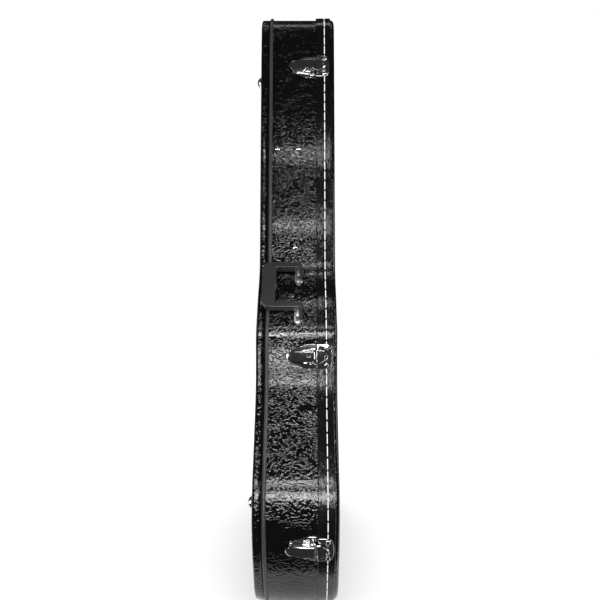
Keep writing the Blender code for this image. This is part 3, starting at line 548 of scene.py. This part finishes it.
def crown_at(y, half_width, height):
    """How far the lid arches over its edge, fading out towards both ends."""
    end = min(height - LIFT, SHELL_LENGTH + LIFT - height) / CROWN_FADE
    share = half_width / WIDEST
    return LID_CROWN * share * share * (1 - (y / half_width) ** 2) * math.sin(min(end, 1) * math.pi / 2)


def wrapped_skin(name, x_open, x_face, start, corner, arched, *stands_for):
    """A wall from an open edge to a rounded corner, and the face inside it."""
    bm = bmesh.new()
    out = 1 if x_face > x_open else -1
    turn = [(x_face - out * (corner - corner * math.sin(a)), start - corner * (1 - math.cos(a)))
            for a in (math.pi / 2 * k / EDGE_STEPS for k in range(EDGE_STEPS + 1))]
    bridge(bm, [ring_of(bm, x, distance) for x, distance in [(x_open, start)] + turn])
    rows = []
    for p in offset(OUTLINE, start - corner)[:len(HALF)]:
        row = []
        for share in SHARES:
            rise = crown_at(p.x * share, p.x, p.y) if arched else 0.0
            row.append(bm.verts.new(((x_face + out * rise) * MM, p.x * share * MM, p.y * MM)))
        rows.append(row)
    for low, high in zip(rows, rows[1:]):
        for k in range(len(SHARES) - 1):
            bm.faces.new((low[k], low[k + 1], high[k + 1], high[k]))
    bmesh.ops.remove_doubles(bm, verts=bm.verts, dist=0.00002)
    bmesh.ops.recalc_face_normals(bm, faces=bm.faces)
    if max(bm.faces, key=lambda f: f.calc_area()).normal.x * out < 0:
        bmesh.ops.reverse_faces(bm, faces=bm.faces)
    open_mesh = bpy.data.meshes.new(name)
    bm.to_mesh(open_mesh)
    bm.free()
    mesh = modified(open_mesh, "SOLIDIFY", thickness=VINYL * MM, offset=-1)
    mesh.shade_smooth()
    body = "lid" if arched else "base"
    return add_piece(name, mesh, "vinyl", body, *stands_for)


back_vinyl = wrapped_skin("back_vinyl", PIPING_X, BACK_X, -VINYL_IN, 3.5, False, "back_cover")
lid_vinyl = wrapped_skin("lid_vinyl", SEAM_X + GAP / 2, LID_X, 0.0, 6.5, True, "lid_cover")
print("back and lid vinyl", len(back_vinyl.data.polygons), len(lid_vinyl.data.polygons), "faces")

# %% [markdown]
# A piping bead covers the joint between side and back vinyl.

# %% Piping
PIPING_PROUD = 2.8

bead = arc((PIPING_X, outer), (PIPING_HALF, PIPING_PROUD - outer), 0, 180, 14)
piping = carried("piping_bead", bead, "trim", "base", "piping")
piping.data.materials[0] = PIPING

# %% [markdown]
# The valance is a smooth band on the lid that overlaps the seam. Its edges are
# turned, and one row of stitches sits in a shallow groove.

# %% Valance
VALANCE_X0, VALANCE_X1 = 34.7, 62.7
VALANCE_PROUD = 3.0
STITCH_X = 50.7
GROOVE = 0.35

edge = arc((VALANCE_X0 + 1.1, VALANCE_PROUD - 1.1), (1.1, 1.1), 180, 90, 4)
far_edge = arc((VALANCE_X1 - 1.1, VALANCE_PROUD - 1.1), (1.1, 1.1), 90, 0, 4)
groove = [(STITCH_X - 1.4, VALANCE_PROUD), (STITCH_X, VALANCE_PROUD - GROOVE), (STITCH_X + 1.4, VALANCE_PROUD)]
section = [(VALANCE_X0, GAP)] + edge + groove + far_edge + [(VALANCE_X1, GAP)]
valance = carried("valance_band", section, "trim", "lid", "valance")

# %% [markdown]
# What repeats is grown by Geometry Nodes. A tree gets named inputs for its
# sizes; its result becomes a plain mesh on a body.

# %% Growing repeated pieces
def new_tree(name, inputs):
    """A tree with geometry in and out and named inputs, its input and output nodes."""
    tree = bpy.data.node_groups.new(name, "GeometryNodeTree")
    tree.interface.new_socket("Geometry", in_out="OUTPUT", socket_type="NodeSocketGeometry")
    tree.interface.new_socket("Geometry", in_out="INPUT", socket_type="NodeSocketGeometry")
    for label, kind in inputs.items():
        tree.interface.new_socket(label, in_out="INPUT", socket_type="NodeSocket" + kind)
    given = tree.nodes.new("NodeGroupInput")
    return tree, {s.name: Socket(tree, s) for s in given.outputs}, tree.nodes.new("NodeGroupOutput")


def out_of(made, output=0):
    return Socket(made.id_data, made.outputs[output])


def close_tree(end, grown, material):
    """Realise the instances, shade them smooth and give them their material."""
    real = grown.node("GeometryNodeRealizeInstances", i0=grown)
    soft = grown.node("GeometryNodeSetShadeSmooth", Geometry=out_of(real))
    dressed = grown.node("GeometryNodeSetMaterial", Geometry=out_of(soft), Material=material)
    grown.tree.links.new(dressed.outputs[0], end.inputs[0])


def grow(name, base_mesh, tree, values, body, slot, *stands_for):
    base = bpy.data.objects.new("base", base_mesh)
    scene.collection.objects.link(base)
    mod = base.modifiers.new("grow", "NODES")
    mod.node_group = tree
    for item in tree.interface.items_tree:
        if item.in_out == "INPUT" and item.name in values:
            mod[item.identifier] = values[item.name]
    mesh = evaluated(base)
    bpy.data.objects.remove(base)
    obj = bpy.data.objects.new(name, mesh)
    scene.collection.objects.link(obj)
    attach(obj, body)
    if stands_for:
        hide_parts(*stands_for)
    print(name, len(mesh.polygons), "faces")
    return obj


# %% [markdown]
# One row of stitches runs round the valance. The seam is a loop of edges: the
# tree walks along it and lays one short grain of thread at each step.

# %% Stitches
STITCH_PITCH = 18.8
STITCH_SHARE = 0.9
THREAD_WIDTH = 1.5
THREAD_STEP = 1.1


def stitch_tree():
    tree, given, end = new_tree("running_stitch", {"Pitch": "Float", "Share": "Float", "Width": "Float",
                                                   "Step": "Float", "Thread": "Material"})
    start = given["Geometry"]
    seam = start.node("GeometryNodeMeshToCurve", Mesh=start)
    walk = start.node("GeometryNodeResampleCurve", {"mode": "LENGTH"}, Curve=out_of(seam), Length=given["Step"])
    passed = out_of(start.node("GeometryNodeSplineParameter"), "Length") / given["Pitch"]
    noted = start.node("GeometryNodeStoreNamedAttribute", Geometry=out_of(walk), Name="count", Value=passed)
    dots = start.node("GeometryNodeCurveToPoints", {"mode": "EVALUATED"}, Curve=out_of(noted))
    count = out_of(start.node("GeometryNodeInputNamedAttribute", Name="count"))
    part = count.math("FRACT", count)
    gap = part.math("GREATER_THAN", part, given["Share"])
    kept = start.node("GeometryNodeDeleteGeometry", Geometry=out_of(dots), Selection=gap)
    runs = start.node("GeometryNodePointsToCurves", i0=out_of(kept), i1=count.math("FLOOR", count))
    middle = abs(part / given["Share"] * 2.0 - 1.0)
    plump = (1.0 - middle.power(8.0) * 0.8).power(0.5)
    ring = start.node("GeometryNodeCurvePrimitiveCircle", Resolution=8, Radius=given["Width"] * 0.5)
    tube = start.node("GeometryNodeCurveToMesh", i0=out_of(runs), i1=out_of(ring), i2=plump, i3=True)
    close_tree(end, out_of(tube), given["Thread"])
    return tree


def loop_mesh(name, x, distance):
    mesh = bpy.data.meshes.new(name)
    points = [(x * MM, p.x * MM, p.y * MM) for p in offset(OUTLINE, distance)]
    mesh.from_pydata(points, [(k, (k + 1) % len(points)) for k in range(len(points))], [])
    return mesh


stitches = grow("valance_stitches", loop_mesh("seam", STITCH_X, VALANCE_PROUD - 0.05), stitch_tree(),
                {"Pitch": STITCH_PITCH * MM, "Share": STITCH_SHARE, "Width": THREAD_WIDTH * MM,
                 "Step": THREAD_STEP * MM, "Thread": THREAD}, "lid", "trim")

# %% [markdown]
# Feet and rivets are turned heads. Each kind is a profile spun once, and a tree
# sets a copy on every point, turned to the way out that the point carries.

# %% Turned heads
def spun(name, profile, steps=32):
    """A closed head from a profile of (radius, height), read from its top down."""
    bm = bmesh.new()
    verts = [bm.verts.new((radius * MM, 0, height * MM)) for radius, height in profile]
    edges = [bm.edges.new(pair) for pair in zip(verts, verts[1:])]
    bmesh.ops.spin(bm, geom=verts + edges, cent=(0, 0, 0), axis=(0, 0, 1), angle=2 * math.pi, steps=steps)
    bmesh.ops.remove_doubles(bm, verts=bm.verts, dist=0.00001)
    obj = bpy.data.objects.new(name, mesh_from(bm, name))
    scene.collection.objects.link(obj)
    return obj


def head_tree():
    tree, given, end = new_tree("heads_on_points", {"Head": "Object", "Plate": "Material"})
    start = given["Geometry"]
    out = start.node("GeometryNodeInputNamedAttribute", {"data_type": "FLOAT_VECTOR"}, Name="out")
    turn = start.node("FunctionNodeAlignRotationToVector", {"axis": "Z"}, Vector=out_of(out))
    head = start.node("GeometryNodeObjectInfo", Object=given["Head"])
    laid = start.node("GeometryNodeInstanceOnPoints", Points=start, Instance=out_of(head, "Geometry"),
                      Rotation=out_of(turn))
    close_tree(end, out_of(laid), given["Plate"])
    return tree


HEADS = head_tree()


def set_heads(name, head, places, body, *stands_for):
    """Copies of a head at (point, way out), all in millimetres."""
    mesh = bpy.data.meshes.new(name)
    mesh.from_pydata([point * MM for point, _ in places], [], [])
    ways = mesh.attributes.new("out", "FLOAT_VECTOR", "POINT")
    for row, (_, way) in zip(ways.data, places):
        row.vector = way
    return grow(name, mesh, HEADS, {"Head": head, "Plate": LOOKS["chrome"]}, body, "chrome", *stands_for)


def dome(radius, height, lip=0.12):
    """Profile of a low dome that ends in a short upright lip."""
    rise = height * (1 - lip)
    turns = [math.pi / 2 * k / 8 for k in range(9)]
    over = [(radius * math.sin(a), height - rise + rise * math.cos(a)) for a in turns]
    return over + [(radius, 0), (0, 0)]


# %% Feet and dome rivets
FOOT_RADIUS, FOOT_HEIGHT = 9.75, 10.0
FEET = [(sign * spread, height) for spread, height in ((193.0, 199.0), (79.0, 963.0)) for sign in (-1, 1)]
DOME_RADIUS, DOME_HEIGHT = 4.5, 3.0
DOMES = [(-4.0, 629.8), (-37.7, 816.6), (1.8, 816.6)]

foot_head = spun("foot_head", dome(FOOT_RADIUS, FOOT_HEIGHT))
set_heads("case_feet", foot_head, [(Vector((BACK_X - GAP, y, z + LIFT)), Vector((-1, 0, 0))) for y, z in FEET],
          "base", *[f"foot_{n}" for n in range(1, 5)])


def on_wall(x, height, side, distance):
    at, normal = wall_at(height, side, distance)
    return Vector((x, at.x, at.y)), Vector((0, normal.x, normal.y))


rivet_head = spun("rivet_head", dome(DOME_RADIUS, DOME_HEIGHT + 0.3))
set_heads("dome_rivets", rivet_head, [on_wall(x, z, side, -VINYL_IN) for x, z in DOMES for side in (-1, 1)],
          "base", *[f"rivet_{n}" for n in range(1, 7)])
for head in (foot_head, rivet_head):
    bpy.data.objects.remove(head)

# %% [markdown]
# Stamped steel has soft edges that catch the light. A merged copy of each CAD
# fitting gets fine rounded edges and stands for it.

# %% Stamped fittings
STAMPED_EDGE = 0.28


def rounded_copy(node, width, segments=2, angle=30):
    bm = bmesh.new()
    bm.from_mesh(nodes[node].data)
    bmesh.ops.remove_doubles(bm, verts=bm.verts, dist=0.000005)
    bmesh.ops.dissolve_limit(bm, angle_limit=math.radians(1), verts=bm.verts, edges=bm.edges)
    rough = bpy.data.meshes.new(node)
    bm.to_mesh(rough)
    bm.free()
    mesh = modified(rough, "BEVEL", width=width * MM, segments=segments, limit_method="ANGLE",
                    angle_limit=math.radians(angle), harden_normals=False)
    mesh.shade_smooth()
    mesh.set_sharp_from_angle(angle=math.radians(50))
    return add_piece(node + "_rounded", mesh, slots[node], body_of[node], node)


FITTINGS = [name for name in sorted(nodes) if name.startswith(("latch_", "hinge_", "handle_bracket", "handle_link"))]
for name in FITTINGS:
    fitting = rounded_copy(name, STAMPED_EDGE)
    if name.startswith("handle"):
        fitting.data.materials[0] = SATIN
print("rounded", len(FITTINGS), "fittings")

# %% [markdown]
# The moulded grip and the plush-covered boards inside have rounder edges, made
# in the same way. The pull tab is a folded ribbon.

# %% Grip, boards and tab
def moulded_copy(node, voxel, passes):
    """A copy whose edges are melted round, as in a moulding."""
    bm = bmesh.new()
    bm.from_mesh(nodes[node].data)
    bmesh.ops.remove_doubles(bm, verts=bm.verts, dist=0.000005)
    rough = bpy.data.meshes.new(node)
    bm.to_mesh(rough)
    bm.free()
    even = modified(rough, "REMESH", mode="VOXEL", voxel_size=voxel)
    mesh = modified(even, "SMOOTH", factor=0.5, iterations=passes)
    mesh.shade_smooth()
    return add_piece(node + "_moulded", mesh, slots[node], body_of[node], node)


moulded_copy("handle_grip", 0.0009, 12)
for name in ("partition_lower", "partition_upper", "compartment_lid"):
    rounded_copy(name, 1.4, 3)
rounded_copy("pull_tab", 0.4)

# %% [markdown]
# The linings are foam under plush, glued to the shell. Each starts thinner than
# the space it fills. Cloth under pressure then swells it: the glued side stays
# where it is, no point moves further than a cap, and one subdivision smooths it.

# %% Swelling a pad
PRESSURE = 4.0
SWELL_FRAMES = 20
SWELL = 1.6


def swollen(mesh, glued, cap=SWELL):
    """A mesh after cloth under pressure, with its glued points held and each move capped."""
    obj = bpy.data.objects.new("pad", mesh)
    scene.collection.objects.link(obj)
    held = obj.vertex_groups.new(name="held")
    held.add([v.index for v in mesh.vertices if glued(v.co)], 1.0, "REPLACE")
    mod = obj.modifiers.new("swell", "CLOTH")
    mod.settings.vertex_group_mass = "held"
    mod.settings.use_pressure = True
    mod.settings.uniform_pressure_force = PRESSURE
    mod.settings.effector_weights.gravity = 0
    mod.collision_settings.use_collision = False
    mod.point_cache.frame_end = SWELL_FRAMES
    for number in range(1, SWELL_FRAMES + 1):
        scene.frame_set(number)
    moved = evaluated(obj)
    scene.frame_set(1)
    bpy.data.objects.remove(obj)
    for rest, after in zip(mesh.vertices, moved.vertices):
        step = after.co - rest.co
        rest.co += step * min(1.0, cap * MM / max(step.length, 1e-9))
    return mesh


def add_pad(name, mesh, glued, body, node):
    mesh = swollen(mesh, glued)
    mesh = modified(mesh, "SUBSURF", levels=1, render_levels=1)
    mesh.shade_smooth()
    pad = add_piece(name, mesh, "plush", body, node)
    print(name, len(mesh.polygons), "faces")
    return pad


# %% [markdown]
# Back and lid lining are thin slabs cut to the outline. A grid of points on the
# front and the back face swells evenly.

# %% Back and lid lining
PAD_EDGE = 2.4
PAD_SHARES = [k / 16 for k in range(-16, 17)]
BACK_PAD = (-63.9, -55.9, -6.0)
LID_PAD = (62.3, 54.3, -5.6)


def face_rows(bm, distance, x, arched):
    """A grid of points over the outline at one depth."""
    rows = []
    for p in offset(OUTLINE, distance)[:len(HALF)]:
        spots = [(x + (crown_at(p.x * share, p.x, p.y) if arched else 0.0), p.x * share) for share in PAD_SHARES]
        rows.append([bm.verts.new((depth * MM, y * MM, p.y * MM)) for depth, y in spots])
    return rows


def rim_of(rows):
    """The points round a grid, once round."""
    right, left = [row[-1] for row in rows], [row[0] for row in reversed(rows)]
    return rows[0][1:-1] + right + rows[-1][-2:0:-1] + left


def slab_pad(name, place, arched):
    x_glued, x_face, distance = place
    into = 1 if x_face > x_glued else -1
    bm = bmesh.new()
    faces = [face_rows(bm, distance - 0.4, x_glued, arched),
             face_rows(bm, distance - PAD_EDGE, x_face - into * SWELL, arched)]
    middle = [bm.verts.new(v.co + Vector((into * (abs(x_face - x_glued) - SWELL - PAD_EDGE) * MM, 0, 0)))
              for v in rim_of(faces[0])]
    for rows in faces:
        for low, high in zip(rows, rows[1:]):
            for k in range(len(PAD_SHARES) - 1):
                bm.faces.new((low[k], low[k + 1], high[k + 1], high[k]))
    rings = [rim_of(faces[0]), middle, rim_of(faces[1])]
    for ring, after in zip(rings, rings[1:]):
        for k in range(len(ring)):
            n = (k + 1) % len(ring)
            bm.faces.new((ring[k], ring[n], after[n], after[k]))
    return mesh_from(bm, name)


back_pad = slab_pad("back_lining_pad", BACK_PAD, False)
add_pad("back_lining_pad", back_pad, lambda p: p.x < (BACK_PAD[0] + 1) * MM, "base", "back_lining")
lid_pad = slab_pad("lid_lining_pad", LID_PAD, True)
glue = {tuple(v.co) for v in lid_pad.vertices[:len(HALF) * len(PAD_SHARES)]}
add_pad("lid_lining_pad", lid_pad, lambda p: tuple(p) in glue, "lid", "lid_lining")

# %% [markdown]
# The side lining is one strip round the inside of the frame. Its top edge, under
# the seam, is rolled over.

# %% Side lining
SIDE_PAD = (-58.6, 43.0, -6.2, -12.0)
SIDE_PAD_ROWS = 12

x0, x1, out, into = SIDE_PAD
front = into + SWELL
roll = arc((x1 - (out - front) / 2 - 0.4, (out + front) / 2), ((out - front) / 2, (out - front) / 2), 90, -90, 8)
run = [(x0 + (roll[-1][0] - x0) * k / SIDE_PAD_ROWS, front) for k in range(SIDE_PAD_ROWS)]
bm = bmesh.new()
rings = [ring_of(bm, x, distance) for x, distance in [(x0, out)] + roll + run[::-1]]
bridge(bm, rings + rings[:1])
side_pad = mesh_from(bm, "side_lining_pad")
glue = {tuple(v.co) for v in side_pad.vertices[:2 * len(OUTLINE)]}
add_pad("side_lining_pad", side_pad, lambda p: tuple(p) in glue, "base", "side_lining")

# %% [markdown]
# The neck rest is a block of foam with a notch for the neck. It is remeshed
# from the solid, drawn in a little, and swells all round its glued underside.

# %% Neck rest
REST_VOXEL = 0.004


def drawn_in(node, amount, voxel):
    """The solid of a node, a little smaller and evenly meshed."""
    bm = bmesh.new()
    bm.from_mesh(nodes[node].data)
    bmesh.ops.remove_doubles(bm, verts=bm.verts, dist=0.000005)
    bm.normal_update()
    for v in bm.verts:
        v.co -= v.normal * v.calc_shell_factor() * amount * MM
    rough = bpy.data.meshes.new(node)
    bm.to_mesh(rough)
    bm.free()
    return modified(rough, "REMESH", mode="VOXEL", voxel_size=voxel)


rest_pad = drawn_in("neck_rest", SWELL, REST_VOXEL)
rest_low = min(v.co.x for v in rest_pad.vertices)
add_pad("neck_rest_pad", rest_pad, lambda p: p.x < rest_low + MM, "base", "neck_rest")

# %% [markdown]
# The lamp at the camera's height is meant for the vinyl alone, and would whiten
# the latches. Light linking keeps it off everything but black vinyl.

# %% Vinyl lamp
VINYLS = {LOOKS["vinyl"], LOOKS["trim"], PIPING}
LIT = {"black_vinyl": ["waist", "level", "low"] + [f"neck {n}" for n in (1, 2)], "everything_else": ["fittings", "rim"]}

groups = [bpy.data.collections.new(name) for name in LIT]
for obj in [o for o in scene.collection.all_objects if o.type == "MESH" and o != floor]:
    groups[0 if set(obj.data.materials) & VINYLS else 1].objects.link(obj)
for group, names in zip(groups, LIT.values()):
    for name in names:
        bpy.data.objects[name].light_linking.receiver_collection = group
